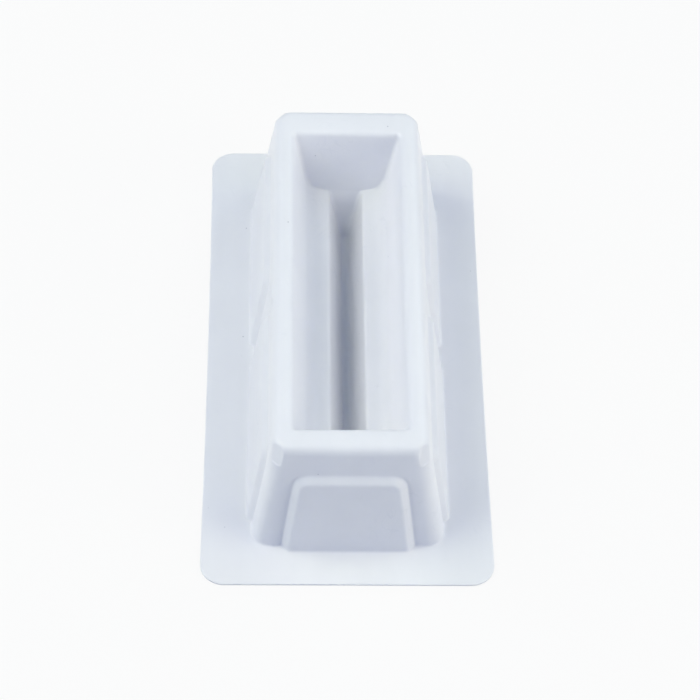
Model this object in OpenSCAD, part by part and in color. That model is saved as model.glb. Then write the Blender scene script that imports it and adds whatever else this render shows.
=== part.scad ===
// Reagent reservoir: one thermoformed plastic sheet.
// A flat die-cut flange carries a hollow, drafted body with a rolled rim.
// Inside the rim the sheet turns down into a stepped trough that ends in a narrow groove,
// long enough for a row of pipette tips at the standard 9 mm pitch.
// Origin: centre of the flange's underside. Z up, Y along the trough.

/* [Sheet] */
// Thickness of the formed sheet
sheet_t = 0.7; // [0.5:0.05:0.9]

/* [Flange] */
// Width of the flange
flange_w = 92; // [80:1:112]
// Length of the flange
flange_l = 178; // [166:1:214]
// Radius of the flange's corners
flange_corner_r = 8; // [2:0.5:14]

/* [Body] */
// Height of the rim above the bench
body_h = 44; // [38:1:52]
// Width over the rim
rim_w = 47; // [44:0.5:52]
// Length over the rim
rim_l = 138.6; // [132:0.6:150]
// Draft of the outer walls, in degrees
wall_draft = 8.6; // [5:0.2:11]
// Plan radius of the body's corners, the same from the flange up to the roll of the rim
body_corner_r = 5.3; // [3:0.1:7]
// Radius that rolls the rim over to the outer walls
rim_outer_r = 2.8; // [1.5:0.1:2.8]
// Fillet between the flange and the outer walls
root_r = 0.6; // [0.3:0.1:1.2]

/* [Trough] */
// Width of the mouth, where the trough's walls would meet the rim's top
mouth_w = 35.4; // [33:0.2:37]
// Length of the mouth
mouth_l = 120; // [112:1:124]
// How far the trough and the side panels sit in front of the body's middle
forward = 0.8; // [0:0.1:1.2]
// Draft of the trough's walls, in degrees
trough_draft = 13; // [9:0.5:14]
// Radius that rolls the rim over to the trough
rim_inner_r = 2.2; // [1.2:0.1:3]
// Plan radius of the trough's upright corners
trough_corner_r = 1.3; // [0.8:0.1:3]
// Height of the lip where the shoulders drop into the groove
lip_h = 21.1; // [16:0.1:24]
// Slope of the shoulders, in degrees
shoulder_slope = 13; // [5:1:30]
// Fillet between a wall and its shoulder
shoulder_r = 6; // [1:0.5:6]
// Radius of the lip
lip_r = 1.5; // [0.5:0.1:2.5]
// Width of the groove at the lip
groove_w = 11.2; // [10:0.2:14]
// Width of the groove's floor, where its sides would meet it
groove_floor_w = 1.6; // [1.4:0.1:5]
// Draft of the groove's end walls, in degrees
groove_end_draft = 18.5; // [13:0.5:24]
// Radius along the bottom of the groove
groove_floor_r = 0.8; // [0.4:0.1:0.8]
// Growth of the plan radius of the groove's ends, for each mm of depth below the lip
end_rounding = 0.08; // [0:0.01:0.3]
// Gap between the groove's underside and the bench
bench_gap = 2.1; // [0.1:0.1:3]

/* [Panels] */
// How far the stiffening panels stand out from the walls
panel_proud = 1.4; // [0.8:0.1:1.8]
// Width of the sloped border round a panel
panel_bevel = 1.7; // [1:0.1:3]
// Height of the end panels' top edge, along the wall
end_panel_top = 33.6; // [28:0.4:36]
// Height of the side panels' top edge, along the wall
side_panel_top = 33.6; // [28:0.4:36]
// Outline radius of a panel's upper corners
panel_corner_r = 4.6; // [3.2:0.1:6]
// Width of an end panel at the flange
end_panel_w = 40.4; // [34:0.2:42]
// Width of an end panel at its top
end_panel_top_w = 34.4; // [28:0.2:36]
// Length of a side panel at the flange
side_panel_l = 61.8; // [50:0.2:63]
// Length of a side panel at its top
side_panel_top_l = 56; // [44:0.2:60]
// Half of the gap between the two side panels of one wall, at the flange
side_panel_gap = 3.4; // [2:0.1:6]

/* [Nesting stops] */
// Plan angle of the facet that cuts off each corner of the rim
notch_angle = 42; // [35:1:55]
// Distance from the rim's sharp corner to the facet, at the top
notch_reach = 3.5; // [2.8:0.1:4.5]
// How far the facet leans back from upright, in degrees
notch_lean = 18; // [9:1:24]
// Height of the facet, down to its ledge
notch_h = 7.4; // [3:0.2:8]
// Length of the lug on the left long side, between its sloped ends
lug_l = 6.8; // [4:0.2:10]
// Height of the lug
lug_h = 2.6; // [1.6:0.2:4]
// How far the lug stands out from the rim
lug_proud = 0.55; // [0.3:0.05:1]
// Drop from the rim's top to the lug's top
lug_drop = 2; // [1.6:0.1:4]
// How far the lug sits in front of the body's middle
lug_forward = 6.4; // [0:0.2:20]

/* [Hidden] */

arc_steps = 6;                            // chords in each fillet arc
corner_facets = 48;                       // facets of a full turn, for the flange's corners
groove_steps = 4;                         // bands down the groove's sides, for its rounding ends
cut = 1;                                  // overrun of every cutting solid
flare = 0.2;                              // slope of the trough cutter where it leaves the rim
groove_fullness = 0.96;                   // plan radius of the groove's ends over its half width
wall_slope = tan(wall_draft);
trough_slope = tan(trough_draft);
floor_z = bench_gap + sheet_t;
lip_x = groove_w / 2;
shoulder_rise = tan(shoulder_slope);
// where the shoulder plane would meet the trough's long wall
shoulder_x = (mouth_w / 2 - (body_h - lip_h) * trough_slope - lip_x * shoulder_rise * trough_slope)
           / (1 - shoulder_rise * trough_slope);
shoulder_z = lip_h + (shoulder_x - lip_x) * shoulder_rise;
floor_x = groove_floor_w / 2;
groove_draft = atan((lip_x - floor_x) / (lip_h - floor_z));
bevel_angle = atan(panel_proud / panel_bevel);

function polar(a) = [cos(a), sin(a)];

// Arc that rounds the corner v between two lines with normals at angles a1 and a2.
// side is 1 where the arc's centre lies behind the normals and -1 where it lies ahead of them.
// The arc is then moved d along its normals. Each entry is [x, z].
function rounded(v, a1, a2, r, side, d = 0) =
    let (n1 = polar(a1), n2 = polar(a2), c = v - side * r * (n1 + n2) / (1 + n1 * n2))
    [for (i = [0 : arc_steps]) c + (side * r + d) * polar(a1 + (a2 - a1) * i / arc_steps)];

// Rounded rectangle at height z, from half sizes and a corner radius
function ring(hx, hy, r, z) = [
    for (q = [0 : 3], i = [0 : arc_steps])
        let (a = 90 * (q + i / arc_steps),
             sx = (q == 0 || q == 3) ? 1 : -1,
             sy = q < 2 ? 1 : -1)
        [sx * (hx - r) + r * cos(a), sy * (hy - r) + r * sin(a), z]];

// Closed solid through rings with equal numbers of points, lowest ring first
module loft(rings) {
    n = len(rings[0]);
    m = len(rings);
    walls = [for (k = [0 : m - 2], i = [0 : n - 1])
        let (j = (i + 1) % n, a = k * n + i, b = k * n + j)
        each [[a, a + n, b + n], [a, b + n, b]]];
    bottom = [for (i = [0 : n - 1]) i];
    top = [for (i = [n - 1 : -1 : 0]) (m - 1) * n + i];
    polyhedron([for (g = rings) each g], concat([bottom], walls, [top]), convexity = 6);
}

// Half width of the body at height z
function wall_x(z) = rim_w / 2 + (body_h - z) * wall_slope;

// Outer form of the body, set in by d; d is 0 outside and sheet_t on the hidden side.
module body_block(d) {
    root = rounded([wall_x(sheet_t), sheet_t], 90, wall_draft, root_r, -1, -d);
    rim = rounded([rim_w / 2, body_h], wall_draft, 90, rim_outer_r, 1, -d);
    foot = [root[0][0], d > 0 ? -cut : 0];
    loft([for (p = concat([foot], root, rim))
        ring(p[0], p[0] + (rim_l - rim_w) / 2, body_corner_r + p[0] - wall_x(p[1]), p[1])]);
}

// Half length of the trough at height z; its end walls lean in further below the lip
function end_y(z, d) =
    mouth_l / 2 - (body_h - max(z, lip_h)) * trough_slope
    - max(0, lip_h - z) * tan(groove_end_draft) + d / cos(trough_draft);

// The trough's inside, grown by d; d is 0 inside and sheet_t on the hidden side.
module trough_block(d) {
    floor_arc = rounded([floor_x, floor_z], -90, -groove_draft, groove_floor_r, 1, d);
    lip_arc = rounded([lip_x, lip_h], -groove_draft, shoulder_slope - 90, lip_r, -1, d);
    shoulder_arc = rounded([shoulder_x, shoulder_z], shoulder_slope - 90, -trough_draft,
                           shoulder_r, 1, d);
    mouth_arc = rounded([mouth_w / 2, body_h], -trough_draft, -90, rim_inner_r, -1, d);
    side = [for (i = [1 : groove_steps - 1])
        floor_arc[arc_steps] + (lip_arc[0] - floor_arc[arc_steps]) * i / groove_steps];
    end_inset = end_y(floor_arc[arc_steps][1], d) - floor_arc[arc_steps][0];
    corner = trough_corner_r + d;
    end_offset = (mouth_l - mouth_w) / 2;
    wall_top = mouth_arc[0][0];
    last = d > 0 ? arc_steps - 1 : arc_steps;
    exit_x = mouth_arc[arc_steps][0] + flare;
    loft(concat(
        [for (p = floor_arc) ring(p[0], p[0] + end_inset, groove_fullness * p[0], p[1])],
        [for (p = concat(side, lip_arc))
            let (full = groove_fullness * p[0],
                 grown = corner + max(0, lip_h - p[1]) * end_rounding)
            ring(p[0], end_y(p[1], d), min(full, grown), p[1])],
        [for (p = shoulder_arc) ring(p[0], end_y(p[1], d), corner, p[1])],
        [for (i = [0 : last])
            let (p = mouth_arc[i])
            ring(p[0], p[0] + end_offset, corner + p[0] - wall_top, p[1])],
        [ring(exit_x, exit_x + end_offset, corner + exit_x - wall_top, body_h + cut)]));
}

// Trapezoid with rounded upper corners, inset by e; x across, y up
function panel_outline(w, top_w, top, bottom, e) =
    let (lean = atan2((w - top_w) / 2, top),
         side_in = e / cos(lean),
         half = function (y) w / 2 - y * tan(lean) - side_in,
         r = panel_corner_r - e,
         v = [half(top - e), top - e],
         right = rounded(v, lean, 90, r, 1))
    concat([[-half(bottom), bottom], [half(bottom), bottom]], right,
           [for (i = [len(right) - 1 : -1 : 0]) [-right[i][0], right[i][1]]]);

// Raised panel on a wall that lies in the XZ plane and faces -Y, set in by d
module panel(w, top_w, top, d) {
    bottom = d > 0 ? -2 * cut : sheet_t / 2;
    e = d * tan(bevel_angle / 2);
    foot = panel_outline(w, top_w, top, bottom, e);
    face = panel_outline(w, top_w, top, bottom, e + panel_bevel);
    loft([[for (p = foot) [p[0], p[1], -cut]],
          [for (p = foot) [p[0], p[1], 0]],
          [for (p = face) [p[0], p[1], panel_proud]]]);
}

// Sets a panel against a drafted wall whose foot stands out by reach from the centre
module on_wall(reach, d) {
    translate([0, -reach, 0]) rotate([90 - wall_draft, 0, 0])
        translate([0, 0, -d]) children();
}

module panels(d) {
    foot_x = rim_w / 2 + body_h * wall_slope;
    foot_y = rim_l / 2 + body_h * wall_slope;
    for (side = [-1, 1])
        rotate([0, 0, 90 - 90 * side]) {
            on_wall(foot_y, d) panel(end_panel_w, end_panel_top_w, end_panel_top, d);
            rotate([0, 0, 90]) for (s = [-1, 1])
                translate([s * (side_panel_gap + side_panel_l / 2) - side * forward, 0, 0])
                    on_wall(foot_x, d) panel(side_panel_l, side_panel_top_l, side_panel_top, d);
        }
}

// Cutters for the four corner notches, set in by d
module notches(d) {
    for (i = [0, 1], j = [0, 1])
        mirror([i, 0, 0]) mirror([0, j, 0])
            translate([rim_w / 2, rim_l / 2, body_h]) rotate([0, 0, -notch_angle])
                intersection() {
                    translate([-rim_w / 2, -rim_w / 2, -notch_h - d])
                        cube([rim_w, rim_w, notch_h + d + cut]);
                    translate([0, -notch_reach, 0]) rotate([notch_lean, 0, 0])
                        translate([-rim_w / 2, -d, -rim_w / 2]) cube(rim_w);
                }
}

module lug() {
    outline = [[rim_outer_r, 0], [0, 0], [-lug_proud, lug_proud],
               [-lug_proud, lug_l - lug_proud], [0, lug_l], [rim_outer_r, lug_l]];
    translate([-rim_w / 2, -lug_forward - lug_l / 2, body_h - lug_drop - lug_h])
        linear_extrude(lug_h) polygon(outline);
}

module flange() {
    x = flange_w / 2 - flange_corner_r;
    y = flange_l / 2 - flange_corner_r;
    for (i = [-1, 1], j = [-1, 1])
        translate([i * x, j * y, 0])
            cylinder(h = sheet_t, r = flange_corner_r, $fn = corner_facets);
    translate([-flange_w / 2, -y, 0]) cube([flange_w, 2 * y, sheet_t]);
    translate([-x, -flange_l / 2, 0]) cube([2 * x, flange_l, sheet_t]);
}

module reservoir() {
    color([0.9, 0.92, 0.95])
    difference() {
        union() {
            flange();
            difference() {
                union() {
                    body_block(0);
                    panels(0);
                    lug();
                }
                notches(0);
            }
        }
        difference() {
            union() {
                body_block(sheet_t);
                panels(sheet_t);
            }
            notches(sheet_t);
            translate([0, -forward, 0]) trough_block(sheet_t);
        }
        translate([0, -forward, 0]) trough_block(0);
    }
}

reservoir();
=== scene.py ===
"""Looks of the reagent reservoir: one thermoformed sheet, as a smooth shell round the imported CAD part.

The shell is worked out in millimetres, in the CAD's frame, and its mesh is in metres."""

import math
from collections import namedtuple

import bpy
import numpy as np
from mathutils import Matrix, Vector


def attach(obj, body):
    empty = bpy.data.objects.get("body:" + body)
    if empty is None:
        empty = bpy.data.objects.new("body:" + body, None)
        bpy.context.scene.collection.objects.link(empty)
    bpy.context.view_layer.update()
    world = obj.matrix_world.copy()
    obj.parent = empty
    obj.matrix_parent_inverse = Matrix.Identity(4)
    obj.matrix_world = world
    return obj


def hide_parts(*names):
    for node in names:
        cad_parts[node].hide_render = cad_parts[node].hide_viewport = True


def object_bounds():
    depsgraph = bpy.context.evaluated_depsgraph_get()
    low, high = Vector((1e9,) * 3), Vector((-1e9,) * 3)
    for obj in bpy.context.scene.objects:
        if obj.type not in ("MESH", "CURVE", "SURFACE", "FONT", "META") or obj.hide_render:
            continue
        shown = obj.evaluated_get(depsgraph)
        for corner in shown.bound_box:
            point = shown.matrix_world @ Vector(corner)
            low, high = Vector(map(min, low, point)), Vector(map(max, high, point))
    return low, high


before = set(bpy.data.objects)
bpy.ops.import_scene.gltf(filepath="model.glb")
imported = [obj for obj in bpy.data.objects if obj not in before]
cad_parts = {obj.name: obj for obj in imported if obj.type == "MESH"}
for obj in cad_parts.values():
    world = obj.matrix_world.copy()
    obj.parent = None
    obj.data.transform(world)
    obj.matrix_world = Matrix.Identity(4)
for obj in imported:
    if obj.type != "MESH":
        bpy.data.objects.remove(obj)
cad_lo, cad_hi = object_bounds()

# foot and top are half widths; border and soft are the width and the softness of the sloped border
Panel = namedtuple("Panel", "foot top height proud border soft")
# angle in plan, lean from upright, and reach past the rim's corner
Notch = namedtuple("Notch", "angle lean reach")
# half sizes, corner radius, height and centre y of a ring. pan is how much it follows the panels' outlines,
# lift how much it moves up with them, wall is 1 on the outer wall and its roll, and flange 1 at the die-cut
# edge, falling to 0 at the foot of the wall.
Row = namedtuple("Row", "hx hy r z cy pan lift wall flange", defaults=(0.0,) * 5)

# ---------------------------------------------------------------- sizes, in millimetres
MM = 0.001
FLANGE_X = (cad_hi.x - cad_lo.x) / 2 / MM
FLANGE_Y = (cad_hi.y - cad_lo.y) / 2 / MM
RIM_Z = cad_hi.z / MM
SHEET = 0.7
FLANGE_R = 7.7
EDGE_R = 0.14  # softened die-cut edge
PULL_LEFT, PULL_RIGHT, PULL_RIGHT_MID = 0.55, 0.5, 0.6  # how far the flange's long edges draw in

RIM_X, RIM_Y = 23.5, 69.3
DRAFT = math.radians(8.6)
CORNER = 5.3
RIM_R = 2.8
RIM_END_R = 3.1  # the rim rolls over more softly at its two ends
RIM_BACK, RIM_BACK_Z = 0.45, (33, 43)  # the rim sits this far back, all of it from the upper height up
RIM_BOW, RIM_BOW_Z, RIM_BOW_X = 0.4, (34, 43), 22  # bow of the rim's front edge, and its half width
ROOT_R = 0.8
CROWN = 0.1  # how far the rim is domed
ROLL_Z = RIM_Z - CROWN  # where the rim's rolls end

TROUGH_Y = -0.8  # the trough and side panels sit a little in front of the middle
MOUTH_X, MOUTH_Y = 17.7, 60.0
TROUGH_DRAFT = math.radians(13)
MOUTH_R = 2.2
TROUGH_CORNER = 1.3
LIP_X, LIP_Z, LIP_R = 5.6, 21.1, 1.5
SHOULDER = math.radians(13)
SHOULDER_R = 6.0
FLOOR_X, FLOOR_Z, FLOOR_R = 1.3, 4.9, 1.2
GROOVE_DRAFT = math.atan((LIP_X - FLOOR_X) / (LIP_Z - FLOOR_Z))
GROOVE_END_DRAFT = math.radians(22.6)
POCKET, POCKET_DROP = 1.1, 3  # depth of the pocket at the groove's ends, and how far below the lip it starts
GROOVE_END = 0.96  # plan radius of the groove's ends over its half width
END_ROUNDING = 0.08  # how fast the groove's end rounds off on the way down

PANEL_R = 4.6
PANEL_LIFT_Z = (1.5, 5)  # the panels move their rows up from the second height on
END_PANEL = Panel(20.7, 16.7, 33.4, 2.25, 1.9, 0.24)
SIDE_PANEL = Panel(30.9, 28.0, 33.6, 1.65, 1.6, 0.1)
SIDE_GAP = 3.4  # half the gap between the two side panels
CREASE = 0.25  # how far the sheet is drawn in along the foot of the panels' borders
CREASE_OUT, CREASE_W = 0.18, 0.3  # where that crease lies and how wide it is, in border widths
CREASE_TOP = 0.2  # share of the crease that is left along a panel's top
END_DRAW, END_DRAW_Z = 0.03, 38.0  # below this height the end walls stand this much steeper than the side walls

# each corner notch has a floor and, beside the end wall, a steeper cheek
NOTCH_FLOOR = Notch(math.radians(42), math.radians(16), 3.1)
NOTCH_CHEEK = Notch(math.radians(57), math.radians(10), 3.05)
NOTCH_LEDGE = RIM_Z - 7.4
LUG_Y, LUG_HALF, LUG_PROUD = -6.4, 3.4, 0.55
LUG_Z = (39.4, 42.0)

HALF_PI = math.pi / 2


# ---------------------------------------------------------------- profile of the sheet
def smooth(a, b, x):
    """0 up to a, 1 from b on, and an even S between them."""
    t = np.clip((x - a) / (b - a), 0, 1)
    return t * t * (3 - 2 * t)


def rounded(v, a1, a2, r, side, steps):
    """Arc that rounds corner v between two lines with normals at angles a1 and a2."""
    n1 = np.array([math.cos(a1), math.sin(a1)])
    n2 = np.array([math.cos(a2), math.sin(a2)])
    c = np.array(v) - side * r * (n1 + n2) / (1 + n1 @ n2)
    return [c + side * r * np.array([math.cos(a), math.sin(a)]) for a in np.linspace(a1, a2, steps)]


def rim_reach(z, r):
    """How far the wall and its roll of radius r stand out from the rim's sharp corner at height z."""
    if z < ROLL_Z - r + r * math.sin(DRAFT):
        return (ROLL_Z - z) * math.tan(DRAFT)
    return math.sqrt(max(0.0, r * r - (z - ROLL_Z + r) ** 2)) - r * math.cos(DRAFT) / (1 + math.sin(DRAFT))


def rim_back(z):
    """How far back the wall and the rim are shifted at height z."""
    return RIM_BACK * float(smooth(*RIM_BACK_Z, z))


def wall_at(z):
    """Half sizes and corner radius of the outer wall at height z."""
    side = rim_reach(z, RIM_R)
    half_y = RIM_Y + rim_reach(z, RIM_END_R) - END_DRAW * max(0.0, END_DRAW_Z - z)
    return RIM_X + side, half_y, CORNER + side - (ROLL_Z - z) * math.tan(DRAFT)


# In the functions below, fine is 2 for the sheet's upper side and 1 for its underside, which has fewer rows.
def flange_rows(fine):
    """The flange from its edge inwards, then the fillet at the foot of the wall."""
    rows = []
    for a in np.linspace(0, 90, 3):
        e = EDGE_R * (1 - math.cos(math.radians(a)))
        z = SHEET - EDGE_R * (1 - math.sin(math.radians(a)))
        rows.append(Row(FLANGE_X - e, FLANGE_Y - e, FLANGE_R - e, z, flange=1))
    wall_x, wall_y, wall_r = wall_at(SHEET)
    fillet = rounded([wall_x, SHEET], HALF_PI, DRAFT, ROOT_R, -1, 3 + 2 * fine)
    x = fillet[0][0]
    y, r = wall_y + (x - wall_x), wall_r + (x - wall_x)
    outermost, crowding, panel_share = 0.97, 1.6, 2.2  # the rows crowd in towards the wall
    for s in np.linspace(outermost, 0.0, 4 + 2 * fine) ** crowding:
        w = max(0.0, 1 - s * panel_share)
        rows.append(Row(x + s * (FLANGE_X - EDGE_R - x), y + s * (FLANGE_Y - EDGE_R - y),
                        r + s * (FLANGE_R - EDGE_R - r), SHEET, pan=w * w * (3 - 2 * w), flange=s))
    for p in fillet[1:]:
        hx, hy, r = wall_at(p[1])
        d = p[0] - hx
        rows.append(Row(hx + d, hy + d, r + d, p[1], pan=1, wall=1))
    return rows


def wall_rows(low, fine):
    """The outer wall from height low up, then the rim's outer roll."""
    rows = []
    roll = rounded([RIM_X, ROLL_Z], DRAFT, HALF_PI, RIM_R, 1, 5 + 3 * fine)
    # the rows stand close at the panels' tops and at the notches
    marks = [low, 3.0, 28.6, 36.0, 37.6, roll[0][1]]
    counts = [2, 4, 8, 4, 4] if fine == 1 else [3, 10, 22, 11, 7]
    for start, end, n in zip(marks, marks[1:], counts):
        for i in range(n):
            z = start + (end - start) * (i + 1) / n
            rows.append(Row(*wall_at(z), z, rim_back(z), pan=1, lift=float(smooth(*PANEL_LIFT_Z, z)), wall=1))
    for p in roll[1:]:
        rows.append(Row(*wall_at(p[1]), p[1], rim_back(p[1]), wall=1))
    return rows


def rim_rows(a, fine):
    """The rim's crown, inwards from row a, then its inner roll down to the trough's wall."""
    rows = []
    # the arc is written for a wall whose solid side lies at larger x, so it is flipped about the corner
    mouth = [np.array([2 * MOUTH_X - q[0], q[1]]) for q in
             rounded([MOUTH_X, ROLL_Z], TROUGH_DRAFT, HALF_PI, MOUTH_R, 1, 4 + 3 * fine)]
    wall_x = mouth[0][0]
    x = mouth[-1][0]
    y, r = x + MOUTH_Y - MOUTH_X, TROUGH_CORNER + x - wall_x
    n = 2 + fine
    for i in range(1, n + 1):
        s = i / (n + 1)
        rows.append(Row(a.hx + s * (x - a.hx), a.hy + s * (y - a.hy), a.r + s * (r - a.r),
                        RIM_Z - CROWN * (2 * s - 1) ** 2, RIM_BACK + s * (TROUGH_Y - RIM_BACK)))
    for p in reversed(mouth):
        rows.append(Row(p[0], p[0] + MOUTH_Y - MOUTH_X, TROUGH_CORNER + p[0] - wall_x, p[1], TROUGH_Y))
    return rows


def trough_end_y(z):
    """Half length of the trough at height z; below the lip its ends lean in further, round a scooped pocket."""
    low = max(0.0, LIP_Z - z)
    scoop = POCKET * math.sin(math.pi * min(1.0, max(0.0, low - POCKET_DROP) / (LIP_Z - FLOOR_Z - POCKET_DROP)))
    return MOUTH_Y - (RIM_Z - max(z, LIP_Z)) * math.tan(TROUGH_DRAFT) - low * math.tan(GROOVE_END_DRAFT) + scoop


def trough_rows(top, fine):
    """The trough's wall from height top down, then the shoulder, the lip, and the groove to its floor."""
    inner = math.tan(TROUGH_DRAFT)
    rise = math.tan(SHOULDER)
    x = (MOUTH_X - (RIM_Z - LIP_Z) * inner - LIP_X * rise * inner) / (1 - rise * inner)
    foot = [x, LIP_Z + (x - LIP_X) * rise]
    shoulder = rounded(foot, -TROUGH_DRAFT, SHOULDER - HALF_PI, SHOULDER_R, 1, 4 + 3 * fine)
    lip = rounded([LIP_X, LIP_Z], SHOULDER - HALF_PI, -GROOVE_DRAFT, LIP_R, -1, 4 + 3 * fine)
    floor = rounded([FLOOR_X, FLOOR_Z], -GROOVE_DRAFT, -HALF_PI, FLOOR_R, 1, 5 + 3 * fine)

    def between(a, b, n):
        """The points that split the way from a to b in n, without its ends."""
        return [a + (b - a) * i / n for i in range(1, n)]

    def basin_row(x, z):
        return Row(x, trough_end_y(z), TROUGH_CORNER, z, TROUGH_Y)

    def groove_row(x, z):
        r = min(GROOVE_END * x, TROUGH_CORNER + max(0.0, LIP_Z - z) * END_ROUNDING)
        return Row(x, trough_end_y(z), r, z, TROUGH_Y)

    rows = [basin_row(MOUTH_X - (RIM_Z - z) * inner, z) for z in between(top, shoulder[0][1], 5 + 2 * fine)]
    rows += [basin_row(*p) for p in shoulder + between(shoulder[-1], lip[0], 2 + fine)]
    rows += [groove_row(*p) for p in lip + between(lip[-1], floor[0], 3 + 2 * fine)]
    inset = trough_end_y(floor[0][1]) - floor[0][0]
    rows += [Row(p[0], p[0] + inset, GROOVE_END * p[0], p[1], TROUGH_Y) for p in floor]
    return rows


def profile(fine):
    """All the rows, from the flange's edge to the groove's floor."""
    rows = flange_rows(fine)
    rows += wall_rows(rows[-1].z, fine)
    rows += rim_rows(rows[-1], fine)
    rows += trough_rows(rows[-1].z, fine)
    return np.array(rows)


# ---------------------------------------------------------------- columns round the rings
def spaced(parts):
    """Knots from 0 to 1 out of (end, count) parts."""
    out, last = [0.0], 0.0
    for end, n in parts:
        out += [last + (end - last) * (i + 1) / n for i in range(n)]
        last = end
    return np.array(out)


OUT = 1.2  # the columns are kept close for this far outside a panel
# shares of half a side: where the end panel's face, its foot and the line outside it fall on a short side,
# and where the side panel's lines fall on a long one, from the side's middle
END_U = (0.76, 0.88, 0.95)
SIDE_U = (0.025, 0.045, 0.085, 0.885, 0.925, 0.95)
SHORT_COLS = spaced([(0.45, 4), (0.68, 7), (END_U[0], 4), (END_U[1], 7), (END_U[2], 4), (1.0, 2)])
LONG_COLS = spaced([(SIDE_U[0], 2), (SIDE_U[1], 3), (SIDE_U[2], 6), (0.18, 8), (0.79, 6), (SIDE_U[3], 8),
                    (SIDE_U[4], 6), (SIDE_U[5], 3), (1.0, 3)])
CORNER_ANGLES = np.interp(np.linspace(0, 1, 31), [0, 0.08, 0.93, 1], [0, 10, 79, 90])[1:-1]


def wall_v(z):
    """Way up the sloping wall to height z."""
    return z / math.cos(DRAFT)


def lean_of(panel):
    """How far a panel's sides lean in, as an angle on the wall."""
    return math.atan((panel.foot - panel.top) / panel.height)


def panel_height(h, v, panel, soft):
    """How far the wall stands out at h across and v up a panel: a rounded trapezoid with a sloped border.

    soft is 1 for the sheet's upper side and more for its underside."""
    lean = lean_of(panel)
    d1 = (np.abs(h) - (panel.foot - v * math.tan(lean))) * math.cos(lean) + PANEL_R
    d2 = v - panel.height + PANEL_R
    outside = np.minimum(np.maximum(d1, d2), 0) + np.hypot(np.maximum(d1, 0), np.maximum(d2, 0)) - PANEL_R
    t, soft = -outside / panel.border, panel.soft * soft
    raised = panel.proud * (np.sqrt(t * t + soft * soft) - np.sqrt((t - 1) ** 2 + soft * soft) + 1) / 2
    crease = CREASE * np.exp(-((t + CREASE_OUT) / CREASE_W) ** 2)
    return raised - crease * (CREASE_TOP + (1 - CREASE_TOP) * smooth(-1, 1, d1 - d2))


def pinned_weight(ring):
    """How much a ring's columns follow the panels: not at all on the rim and inside it."""
    return ring.pan if ring.z < RIM_Z - RIM_R else 0


def short_columns(ring):
    """x of the columns along half a short side, from its middle, kept to the end panel's outline."""
    ax = ring.hx - ring.r
    foot = END_PANEL.foot - max(wall_v(ring.z), 0) * math.tan(lean_of(END_PANEL))
    to = [0, foot - END_PANEL.border, foot, foot + OUT, ax]
    w = pinned_weight(ring)
    return w * np.interp(SHORT_COLS, [0, *END_U, 1.0], to) + (1 - w) * SHORT_COLS * ax


def long_columns(ring, sign):
    """Distance of the columns from the long side's middle, for the back half (+1) or the front half (-1)."""
    ay = ring.hy - ring.r
    mid = SIDE_GAP + SIDE_PANEL.foot + sign * TROUGH_Y
    half = SIDE_PANEL.foot - max(wall_v(ring.z), 0) * math.tan(lean_of(SIDE_PANEL))
    border = SIDE_PANEL.border
    to = [0, mid - half - OUT, mid - half, mid - half + border,
          mid + half - border, mid + half, mid + half + OUT, ay]
    w = pinned_weight(ring)
    # cy is the ring's own shift, so the middle of the long side stays on the body's middle line
    return w * np.interp(LONG_COLS, [0, *SIDE_U, 1.0], to) + (1 - w) * (LONG_COLS * (ay + sign * ring.cy))


def quadrant(ring, sx, sy, x_short, y_long, soft):
    """Points of a quarter of every ring, from the long side's middle round the corner to the short side's."""
    v = np.maximum(wall_v(ring.z), 0)
    ax, ay = ring.hx - ring.r, ring.hy - ring.r
    # long side: middle to corner
    y = sy * y_long
    x = sx * np.repeat(ring.hx, y.shape[1], 1)
    centre = SIDE_GAP + SIDE_PANEL.foot
    stand = sum(panel_height(y - TROUGH_Y - k * centre, v, SIDE_PANEL, soft) for k in (1, -1)) * ring.pan
    parts = [(x + sx * stand * math.cos(DRAFT), y, ring.z + stand * ring.lift * math.sin(DRAFT))]
    # corner arc
    a = np.radians(CORNER_ANGLES)[None, :]
    x = sx * (ax + ring.r * np.cos(a))
    parts.append((x, ring.cy + sy * (ay + ring.r * np.sin(a)), np.repeat(ring.z, x.shape[1], 1)))
    # short side: corner to middle
    xs = x_short[:, ::-1]
    y = ring.cy + sy * np.repeat(ring.hy, xs.shape[1], 1)
    stand = panel_height(xs, v, END_PANEL, soft) * ring.pan
    parts.append((sx * xs, y + sy * stand * math.cos(DRAFT), ring.z + stand * ring.lift * math.sin(DRAFT)))
    return np.stack([np.concatenate([q[k] * np.ones_like(q[0]) for q in parts], 1) for k in range(3)], 2)


# ---------------------------------------------------------------- local shapes, moved in place
def cut_notches(p, ring, on_wall, soft):
    """Corner notches, cut back along their floor's plan direction."""
    qx, qy = np.abs(p[:, :, 0]) - RIM_X, np.abs(p[:, :, 1] - ring.cy) - RIM_Y

    def past(notch):
        flat = qx * math.sin(notch.angle) + qy * math.cos(notch.angle)
        return flat + notch.reach - (RIM_Z - p[:, :, 2]) * math.tan(notch.lean)

    e, cheek = past(NOTCH_FLOOR), past(NOTCH_CHEEK) / math.cos(NOTCH_CHEEK.angle - NOTCH_FLOOR.angle)
    e = (e + cheek - np.sqrt((e - cheek) ** 2 + soft ** 2)) / 2
    cut = (e + np.sqrt(e * e + 4 * soft ** 2)) / 2 * smooth(-2.5, -0.5, e)
    cut = cut * smooth(NOTCH_LEDGE - 0.1, NOTCH_LEDGE + 0.35, p[:, :, 2]) * on_wall
    p[:, :, 0] -= np.sign(p[:, :, 0]) * cut * math.sin(NOTCH_FLOOR.angle)
    p[:, :, 1] -= np.sign(p[:, :, 1]) * cut * math.cos(NOTCH_FLOOR.angle)


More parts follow.
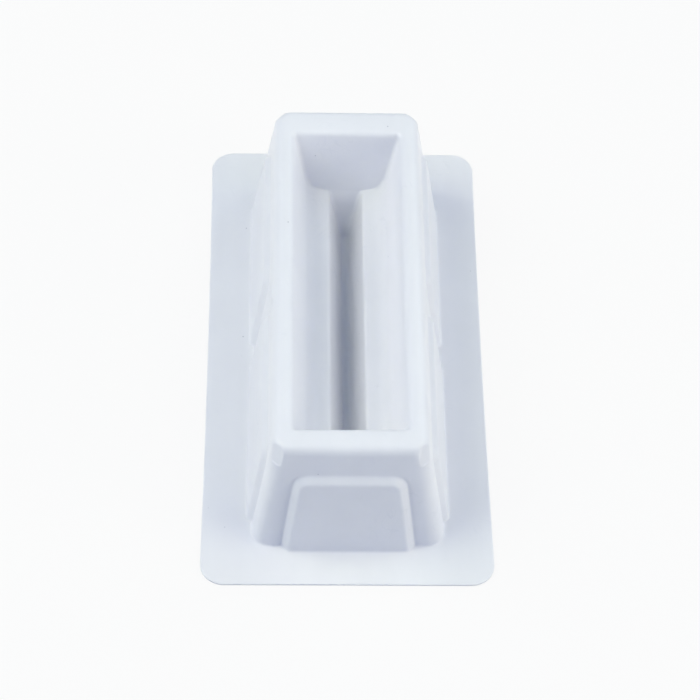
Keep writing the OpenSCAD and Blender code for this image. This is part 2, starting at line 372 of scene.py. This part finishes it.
def bow_front_rim(p, on_wall):
    """The front edge of the rim bows out in the middle."""
    bow = np.cos(np.clip(p[:, :, 0] / RIM_BOW_X, -1, 1) * math.pi / 2) * smooth(*RIM_BOW_Z, p[:, :, 2]) * on_wall
    front = (p[:, :, 1] < 0) * smooth(60, 66, np.abs(p[:, :, 1]))
    p[:, :, 1] -= RIM_BOW * bow * front


def raise_lug(p, on_wall):
    """The lug on the left long side."""
    low, high = LUG_Z
    lug = smooth(LUG_HALF + 0.25, LUG_HALF - 0.35, np.abs(p[:, :, 1] - LUG_Y)) * (p[:, :, 0] < 0)
    lug = lug * smooth(low - 0.3, low + 0.4, p[:, :, 2]) * smooth(high + 0.5, high - 0.3, p[:, :, 2])
    p[:, :, 0] -= LUG_PROUD * lug * on_wall


def draw_in_flange(p, ring):
    """The flange's long edges pull in a little between the corners."""
    side = smooth(0.5, 1.0, np.abs(p[:, :, 0]) / FLANGE_X) * ring.flange
    bow = np.clip(1 - (p[:, :, 1] / FLANGE_Y) ** 2, 0, 1) ** 0.8
    left = p[:, :, 0] < 0
    p[:, :, 0] += np.where(left, PULL_LEFT * bow, -(PULL_RIGHT + PULL_RIGHT_MID * bow)) * side


# ---------------------------------------------------------------- the shell
def surface(fine, soft, notch_soft):
    """Grid of points, rows by columns, for the sheet's upper side, and its rows' values as columns."""
    rows = profile(fine)
    rings = [Row(*values) for values in rows]
    x_short = np.array([short_columns(ring) for ring in rings])
    y_long = {sign: np.array([long_columns(ring, sign) for ring in rings]) for sign in (1, -1)}
    ring = Row(*[rows[:, [k]] for k in range(len(Row._fields))])
    q1, q2, q3, q4 = [quadrant(ring, sx, sy, x_short, y_long[sy], soft)
                      for sx, sy in ((1, 1), (-1, 1), (-1, -1), (1, -1))]
    # counter-clockwise from the right side's middle: back half, back side, left side, front side, front half
    p = np.concatenate([
        q1,                      # +x middle, back-right corner, back side to its middle
        q2[:, ::-1][:, 1:],      # back side on to the left side's middle
        q3[:, 1:],               # left side to the front side's middle
        q4[:, ::-1][:, 1:-1],    # front side to the right side's middle
    ], 1)
    on_wall = ring.wall * np.ones((1, p.shape[1]))
    cut_notches(p, ring, on_wall, notch_soft)
    bow_front_rim(p, on_wall)
    raise_lug(p, on_wall)
    draw_in_flange(p, ring)
    return p, ring


def grid_normals(p):
    """Unit normals of a grid of closed rings, pointing out of the sheet's upper side."""
    du = np.gradient(p, axis=0)
    wrapped = np.concatenate([p[:, -1:], p, p[:, :1]], 1)
    dv = (wrapped[:, 2:] - wrapped[:, :-2]) / 2
    n = np.cross(dv, du)
    n /= np.linalg.norm(n, axis=2, keepdims=True) + 1e-12
    return n


def underside():
    """Grid of points for the underside: a sheet's thickness off a coarser, softer upper side."""
    lower, ring = surface(fine=1, soft=1.8, notch_soft=0.6)
    under = lower - SHEET * grid_normals(lower)
    under[ring.flange[:, 0] > 0, :, 2] = 0.0
    # the lower die-cut edge mirrors the upper one
    edge = lower[:3].copy()
    edge[:, :, 2] = SHEET - edge[:, :, 2]
    under = np.concatenate([edge, under[3:]], 0)
    under[:, :, 2] = np.maximum(under[:, :, 2], 0.0)
    return under


def shell_mesh(name):
    """The closed sheet: its upper side, its underside, the die-cut edge between them and the groove's floor."""
    upper, _ = surface(fine=2, soft=1, notch_soft=0.08)
    under = underside()
    rows_up, rows_under, cols = len(upper), len(under), upper.shape[1]
    verts = np.concatenate([upper.reshape(-1, 3), under.reshape(-1, 3)], 0) * MM
    faces = []

    def band(a, b, up):
        """Quads between the rings whose first vertices are a and b."""
        for j in range(cols):
            k = (j + 1) % cols
            faces.append((a + j, a + k, b + k, b + j) if up else (a + j, b + j, b + k, a + k))

    def close(last, up):
        """The groove's floor: quads straight across ring last, from side to side."""
        half, quarter = cols // 2, cols // 4
        for j in range(-quarter, quarter):
            across = (j % cols, (j + 1) % cols, (half - j - 1) % cols, (half - j) % cols)
            face = list(dict.fromkeys(last + q for q in across))
            if len(face) > 2:
                faces.append(tuple(face if up else face[::-1]))

    base = rows_up * cols
    for i in range(rows_up - 1):
        band(i * cols, (i + 1) * cols, True)
    for i in range(rows_under - 1):
        band(base + i * cols, base + (i + 1) * cols, False)
    band(0, base, False)
    close((rows_up - 1) * cols, True)
    close(base + (rows_under - 1) * cols, False)

    mesh = bpy.data.meshes.new(name)
    mesh.from_pydata(verts.tolist(), [], faces)
    mesh.validate()
    mesh.update()
    mesh.polygons.foreach_set("use_smooth", [True] * len(mesh.polygons))
    return mesh


# ---------------------------------------------------------------- materials
class Nodes:
    """A new material, and short ways to add nodes to it. A value is a number, a colour or a node's output."""

    def __init__(self, name):
        self.material = bpy.data.materials.new(name)
        self.material.use_nodes = True
        self.tree = self.material.node_tree
        self.tree.nodes.clear()

    def add(self, kind, **values):
        """Node of this kind, with its inputs set by name."""
        node = self.tree.nodes.new("ShaderNode" + kind)
        for name, value in values.items():
            self.feed(node.inputs[name.replace("_", " ")], value)
        return node

    def feed(self, socket, value):
        if isinstance(value, bpy.types.NodeSocket):
            self.tree.links.new(value, socket)
        else:
            socket.default_value = value

    def stretched(self, coords, scale, turn=0):
        """Coordinates turned by this many degrees about Z, then scaled."""
        mapping = self.add("Mapping", Vector=coords, Rotation=(0, 0, math.radians(turn)))
        mapping.vector_type = "TEXTURE"
        mapping.inputs["Scale"].default_value = [1 / v for v in scale]
        return mapping.outputs[0]

    def noise(self, coords, scale, detail):
        return self.add("TexNoise", Vector=coords, Scale=scale, Detail=detail).outputs["Fac"]

    def spread(self, value, low, high, to_low=0.0, to_high=1.0):
        node = self.add("MapRange", Value=value, From_Min=low, From_Max=high, To_Min=to_low, To_Max=to_high)
        return node.outputs[0]

    def calc(self, kind, a, b):
        node = self.add("Math")
        node.operation = kind
        self.feed(node.inputs[0], a)
        self.feed(node.inputs[1], b)
        return node.outputs[0]

    def times(self, a, b):
        return self.calc("MULTIPLY", a, b)

    def plus(self, a, b):
        return self.calc("ADD", a, b)

    def blend(self, fac, a, b):
        """Colour a, with colour b laid over it by fac."""
        node = self.add("Mix")
        node.data_type = "RGBA"
        for k, value in ((0, fac), (6, a), (7, b)):
            self.feed(node.inputs[k], value)
        return node.outputs[2]


# the scales of the noises below count cells in a metre
TINT = ((0.862, 0.862, 0.903, 1), (0.882, 0.882, 0.923, 1))
SPECK_CELLS = 210
DUST_COLOUR, DUST_SHARE = (0.3, 0.32, 0.4, 1), (0.8, 0.82)  # share of the cells that hold none, and its fade
# painted highlight: near-white glints laid into the colour of some cells, with the share of cells that hold none
# and its fade
PAINTED_GLINT_COLOUR, PAINTED_GLINT_SHARE = (0.95, 0.95, 0.95, 1), (0.9, 0.92)
SCUFF_COLOUR = (0.7, 0.72, 0.78, 1)
SCUFF_TURNS = (24, -37, 81)  # directions of the hairlines, in degrees
ROUGHNESS = (0.31, 0.39)
FLOOR_GLOW = 0.88  # share of the floor that shows as plain white; the rest keeps the shadow


def sheet_material():
    """White, faintly blue formed plastic with a soft gloss, fine grain, dust specks, painted glints and light
    scuffs.
    """
    n = Nodes("formed_sheet")
    bsdf = n.add("BsdfPrincipled", IOR=1.5)
    n.add("OutputMaterial", Surface=bsdf.outputs[0])
    coords = n.add("TexCoord").outputs["Object"]

    # tint: cloudy, with a trace of streaks along the sheet
    cloud = n.noise(coords, 55, 4)
    streak = n.noise(n.stretched(coords, (160, 9, 160)), 1, 2)
    tone = n.plus(n.times(cloud, 0.6), n.times(streak, 0.4))
    colour = n.blend(n.spread(tone, 0.38, 0.62), *TINT)

    # dust and painted glints: a dark dust speck, or a near-white painted highlight, in some of the cells of a
    # coarse grid
    cells = n.add("TexVoronoi", Vector=coords, Scale=SPECK_CELLS)
    pick = n.add("SeparateColor", Color=cells.outputs["Color"])
    dot = n.spread(cells.outputs["Distance"], 0.035, 0.06, 1, 0)
    dust = n.times(dot, n.spread(pick.outputs[0], *DUST_SHARE))
    painted_glint = n.times(dot, n.spread(pick.outputs[1], *PAINTED_GLINT_SHARE))
    colour = n.blend(n.times(dust, 0.5), colour, DUST_COLOUR)
    # painted highlight: the glint cells are lightened towards white in the base colour
    colour = n.blend(n.times(painted_glint, 0.7), colour, PAINTED_GLINT_COLOUR)

    # scuffs: short hairlines, kept to worn patches
    worn = n.spread(n.noise(coords, 38, 1), 0.54, 0.66)
    lines = None
    for turn in SCUFF_TURNS:
        hair = n.noise(n.stretched(coords, (500, 40, 160), turn), 1, 1)
        hair = n.spread(n.calc("ABSOLUTE", n.calc("SUBTRACT", hair, 0.5), 0), 0.01, 0.03, 1, 0)
        hair = n.times(hair, n.spread(n.noise(coords, 90 + turn, 1), 0.58, 0.64))
        lines = hair if lines is None else n.calc("MAXIMUM", lines, hair)
    scuff = n.times(lines, worn)
    colour = n.blend(n.times(scuff, 0.15), colour, SCUFF_COLOUR)
    n.feed(bsdf.inputs["Base Color"], colour)

    # gloss: duller where handled and along scuffs
    dull = n.spread(n.noise(coords, 30, 3), 0.35, 0.65, *ROUGHNESS)
    n.feed(bsdf.inputs["Roughness"], n.plus(dull, n.times(scuff, 0.15)))

    # relief, in millimetres: fine grain, soft waviness of the formed sheet, scuffs and specks
    grain = n.times(n.noise(coords, 1500, 2), 0.016)
    wave = n.times(n.noise(n.stretched(coords, (1, 0.6, 1)), 120, 2), 0.05)
    marks = n.calc("SUBTRACT", n.times(n.plus(dust, painted_glint), 0.04), n.times(scuff, 0.005))
    relief = n.add("Bump", Strength=1.0, Distance=MM, Height=n.plus(n.plus(grain, wave), marks))
    n.feed(bsdf.inputs["Normal"], relief.outputs[0])
    return n.material


def floor_material():
    """Plain pale floor. The camera and glossy rays see it nearly white, with the object's soft shadow."""
    n = Nodes("pale_floor")
    diffuse = n.add("BsdfDiffuse", Color=(0.75, 0.75, 0.75, 1))
    glow = n.add("Emission", Color=(1, 1, 1, 1), Strength=1.0)
    path = n.add("LightPath")
    rays = path.outputs["Is Camera Ray"]
    for kind in ("Is Glossy Ray", "Is Transmission Ray"):
        rays = n.calc("MAXIMUM", rays, path.outputs[kind])
    mix = n.add("MixShader")
    for k, value in enumerate((n.times(rays, FLOOR_GLOW), diffuse.outputs[0], glow.outputs[0])):
        n.feed(mix.inputs[k], value)
    n.add("OutputMaterial", Surface=mix.outputs[0])
    return n.material


# ---------------------------------------------------------------- object
sheet = bpy.data.objects.new("reservoir_sheet", shell_mesh("reservoir_sheet"))
bpy.context.scene.collection.objects.link(sheet)
sheet.data.materials.append(sheet_material())
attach(sheet, "root")
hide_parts("reservoir")

# ---------------------------------------------------------------- stage, in metres
FLOOR_HALF, FLOOR_DROP = 3, 0.0002
LAMP_DISTANCE = 1.1
# name, azimuth and elevation in degrees from the front, size, power in watts, colour
LAMPS = (
    ("left_bank", -90, 45, 1.1, 7.7, (1.0, 1.0, 0.92)),
    ("left_high", -90, 60, 0.6, 1.9, (0.9, 0.95, 0.4)),
    ("left_front", -48, 36, 0.6, 0.95, (0.72, 0.7, 1.0)),
    ("left_back", -130, 50, 0.6, 0.5, (0.5, 0.3, 1.0)),
    ("right_low", 72, 20, 0.55, 4.35, (1.0, 0.97, 0.83)),
    ("right_high", 90, 62, 0.6, 2.3, (1.0, 0.97, 0.55)),
    ("right_front", 45, 60, 0.5, 0.7, (0.1, 0.1, 1.0)),
    ("right_back", 125, 38, 0.7, 2.3, (0.87, 0.94, 1.0)),
    ("key", 51, 48, 0.22, 0.6, (1.0, 0.94, 0.76)),
)
SKY_COLOUR, SKY_STRENGTH = (0.1, 0.4, 1.0, 1), 0.205

h = FLOOR_HALF
floor_mesh = bpy.data.meshes.new("floor")
floor_mesh.from_pydata([(-h, -h, 0), (h, -h, 0), (h, h, 0), (-h, h, 0)], [], [(0, 1, 2, 3)])
floor = bpy.data.objects.new("floor", floor_mesh)
floor.location.z = -FLOOR_DROP
bpy.context.scene.collection.objects.link(floor)
floor_mesh.materials.append(floor_material())

for name, azimuth, elevation, size, power, colour in LAMPS:
    data = bpy.data.lights.new(name, "AREA")
    data.shape = "SQUARE"
    data.size = size
    data.energy = power
    data.color = colour
    lamp = bpy.data.objects.new(name, data)
    a, e = math.radians(azimuth), math.radians(elevation)
    back = Vector((math.sin(a) * math.cos(e), -math.cos(a) * math.cos(e), math.sin(e)))
    lamp.location = back * LAMP_DISTANCE
    lamp.rotation_mode = "QUATERNION"
    lamp.rotation_quaternion = back.to_track_quat("Z", "Y")
    bpy.context.scene.collection.objects.link(lamp)

world = bpy.data.worlds.new("studio")
world.use_nodes = True
sky = world.node_tree.nodes["Background"]
sky.inputs["Color"].default_value = SKY_COLOUR
sky.inputs["Strength"].default_value = SKY_STRENGTH
bpy.context.scene.world = world

# ---------------------------------------------------------------- camera
CAMERA_YAW, CAMERA_PITCH, CAMERA_ROLL = math.radians(2.498), math.radians(52.5), math.radians(2.342)
# how far back, right and up the camera stands from TARGET, in widths of the flange
CAMERA_BACK, CAMERA_RIGHT, CAMERA_UP = 8.648, 0.0215, 0.0233
FLANGE_WIDTH = 0.092
TARGET = Vector((-0.0005, -0.0002, 0))
SENSOR, LENS = 36, 123.8  # millimetres

forward = Vector((math.sin(CAMERA_YAW) * math.cos(CAMERA_PITCH), math.cos(CAMERA_YAW) * math.cos(CAMERA_PITCH),
                  -math.sin(CAMERA_PITCH)))
level_right = Vector((math.cos(CAMERA_YAW), -math.sin(CAMERA_YAW), 0))
level_up = level_right.cross(forward)
right = level_right * math.cos(CAMERA_ROLL) + level_up * math.sin(CAMERA_ROLL)
up = level_up * math.cos(CAMERA_ROLL) - level_right * math.sin(CAMERA_ROLL)
cam = bpy.data.cameras.new("camera")
cam.sensor_width = SENSOR
cam.lens = LENS
camera = bpy.data.objects.new("camera", cam)
at = (forward * -CAMERA_BACK + right * CAMERA_RIGHT + up * CAMERA_UP) * FLANGE_WIDTH + TARGET
camera.matrix_world = Matrix.Translation(at) @ Matrix((right, up, -forward)).transposed().to_4x4()
bpy.context.scene.collection.objects.link(camera)
bpy.context.scene.camera = camera
bpy.context.scene.view_settings.view_transform = "Standard"
